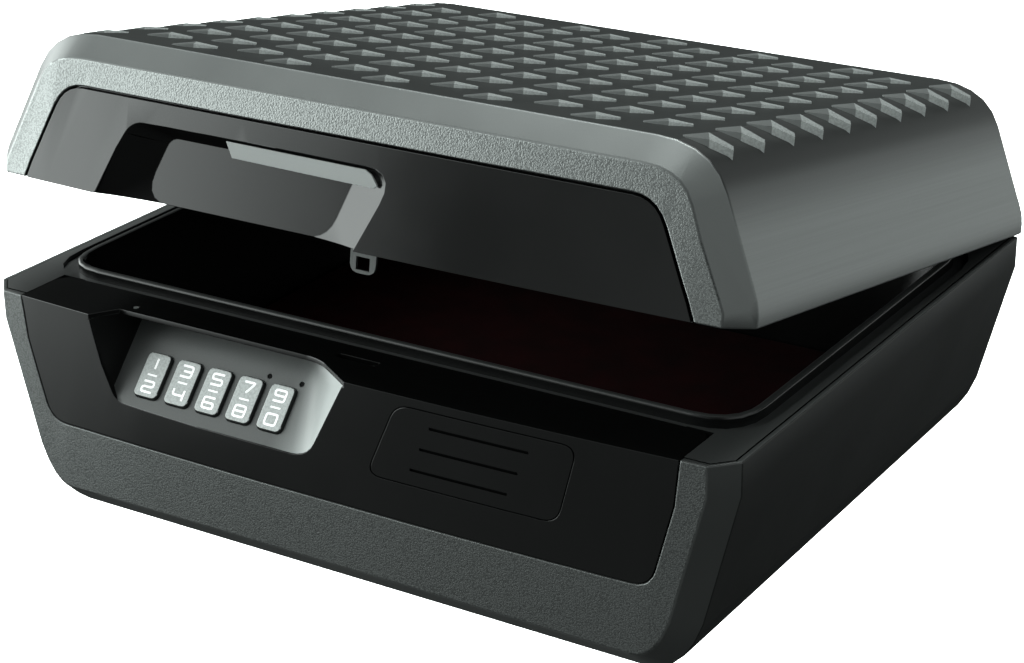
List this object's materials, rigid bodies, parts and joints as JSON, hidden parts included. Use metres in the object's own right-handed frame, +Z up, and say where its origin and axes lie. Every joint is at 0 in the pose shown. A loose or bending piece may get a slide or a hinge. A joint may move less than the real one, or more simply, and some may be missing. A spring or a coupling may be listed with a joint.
{
  "type": "portable safe",
  "caption": "Portable digital chest safe with a thick filled base and hinged treaded lid, a keypad in a sloping pocket, a battery door and a hook latch.",
  "frame": {"origin": "middle of the flat underside, halfway along the side walls", "axes": "+X to the right across the front, +Y to the hinged back, +Z up"},
  "size_m": [0.406, 0.3395, 0.2344],
  "materials": {
    "base_housing": "satin",
    "lid_housing": "satin",
    "gloss_black": "gloss",
    "liner_black": "gloss",
    "filling": "matte",
    "felt": "matte",
    "key_grey": "satin",
    "black_rubber": "matte",
    "board": "matte",
    "lamp_red": "gloss",
    "lamp_clear": "gloss",
    "black_plastic": "matte",
    "cell_jacket": "gloss",
    "steel": "satin",
    "hook_grey": "satin",
    "brass": "satin"
  },
  "bodies": {
    "base": {"base_shell": "base_housing", "base_liner": "liner_black", "base_insulation": "filling", "floor_pad": "felt", "base_front_panel": "gloss_black", "ledge_lamp": "lamp_clear", "battery_tray": "black_plastic", "contact_left": "steel", "contact_right": "steel", "latch_frame": "steel", "latch_motor": "steel", "keypad_mat": "black_rubber", "keypad_board": "board", "status_lamp_left": "lamp_red", "status_lamp_right": "lamp_red", "cell_1": "cell_jacket", "cell_2": "cell_jacket", "cell_3": "cell_jacket", "cell_4": "cell_jacket", "hinge_seat_left": "steel", "hinge_pin_left": "steel", "hinge_seat_right": "steel", "hinge_pin_right": "steel"},
    "lid": {"lid_shell": "lid_housing", "lid_front_panel": "gloss_black", "lid_liner": "liner_black", "lid_insulation": "filling", "lid_gasket": "black_rubber", "latch_hook": "hook_grey", "hinge_arm_left": "steel", "hinge_screw_left_1": "steel", "hinge_screw_left_2": "steel", "hinge_arm_right": "steel", "hinge_screw_right_1": "steel", "hinge_screw_right_2": "steel"},
    "battery_door": {"battery_cover": "gloss_black"},
    "bolt": {"latch_bolt": "steel"},
    "pinion": {"latch_pinion": "brass"},
    "button_1_2": {"key_1_2": "key_grey"},
    "button_3_4": {"key_3_4": "key_grey"},
    "button_5_6": {"key_5_6": "key_grey"},
    "button_7_8": {"key_7_8": "key_grey"},
    "button_9_0": {"key_9_0": "key_grey"}
  },
  "joints": [
    {"name": "lid_hinge", "type": "hinge", "parent": "base", "child": "lid", "pos_m": [0, 0.156, 0.084], "axis": [-1, 0, 0], "range_deg": [-10.47, 80]},
    {"name": "battery_door_slide", "type": "slide", "parent": "base", "child": "battery_door", "axis": [0, -1, 0], "range_m": [0, 0.012]},
    {"name": "bolt_slide", "type": "slide", "parent": "base", "child": "bolt", "axis": [0, -1, 0], "range_m": [0, 0.008]},
    {"name": "pinion_spin", "type": "hinge", "parent": "base", "child": "pinion", "pos_m": [-0.0017, -0.1337, 0.0984], "axis": [0, 0, -1], "range_deg": [0, 115]},
    {"name": "press_1_2", "type": "slide", "parent": "base", "child": "button_1_2", "axis": [0, 0.7431, -0.6691], "range_m": [0, 0.0012], "stiffness_N_per_m": 600},
    {"name": "press_3_4", "type": "slide", "parent": "base", "child": "button_3_4", "axis": [0, 0.7431, -0.6691], "range_m": [0, 0.0012], "stiffness_N_per_m": 600},
    {"name": "press_5_6", "type": "slide", "parent": "base", "child": "button_5_6", "axis": [0, 0.7431, -0.6691], "range_m": [0, 0.0012], "stiffness_N_per_m": 600},
    {"name": "press_7_8", "type": "slide", "parent": "base", "child": "button_7_8", "axis": [0, 0.7431, -0.6691], "range_m": [0, 0.0012], "stiffness_N_per_m": 600},
    {"name": "press_9_0", "type": "slide", "parent": "base", "child": "button_9_0", "axis": [0, 0.7431, -0.6691], "range_m": [0, 0.0012], "stiffness_N_per_m": 600}
  ],
  "couplings": [
    {"joint": "pinion_spin", "follows": "bolt_slide", "rad_per_m": 250}
  ]
}
